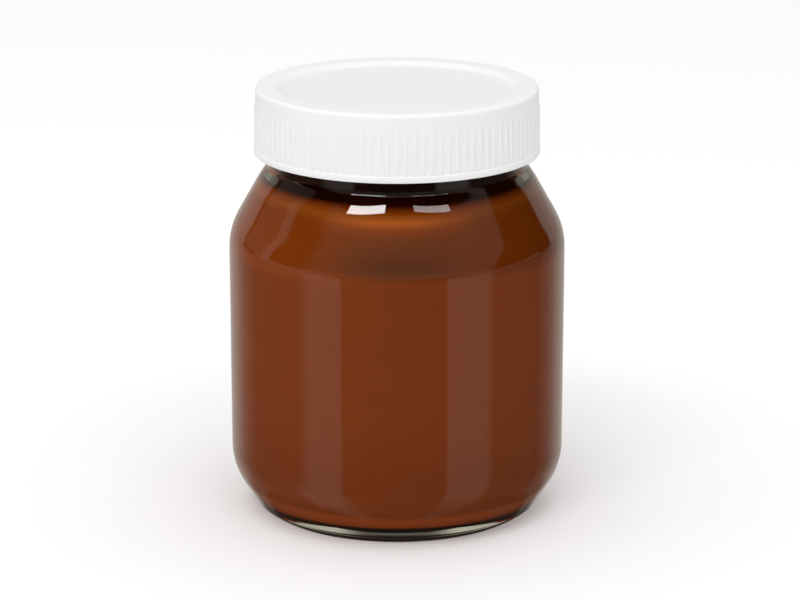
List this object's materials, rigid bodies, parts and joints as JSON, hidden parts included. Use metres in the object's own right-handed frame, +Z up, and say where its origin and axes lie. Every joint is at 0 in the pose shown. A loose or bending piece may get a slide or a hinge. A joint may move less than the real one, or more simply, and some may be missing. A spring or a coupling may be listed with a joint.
{
  "type": "jar of chocolate spread",
  "caption": "Wide clear glass jar with coned shoulder and heel, filled with brown cocoa spread and shut with a white ribbed plastic screw cap",
  "frame": {"origin": "centre of the ring that the jar stands on, in the resting plane", "axes": "+Z up along the jar's axis, +X and +Y level; the object is round, with one rib of the cap on +X"},
  "size_m": [0.086, 0.086, 0.1105],
  "materials": {
    "clear_glass": "blown, smooth and clear, faintly green at its thick base",
    "cocoa_spread": "smooth fatty cocoa cream pressed against the glass",
    "white_cap_plastic": "moulded white polypropylene, satin"
  },
  "bodies": {
    "root": {"glass_jar": "clear_glass", "spread": "cocoa_spread", "lid": "white_cap_plastic"}
  },
  "joints": []
}
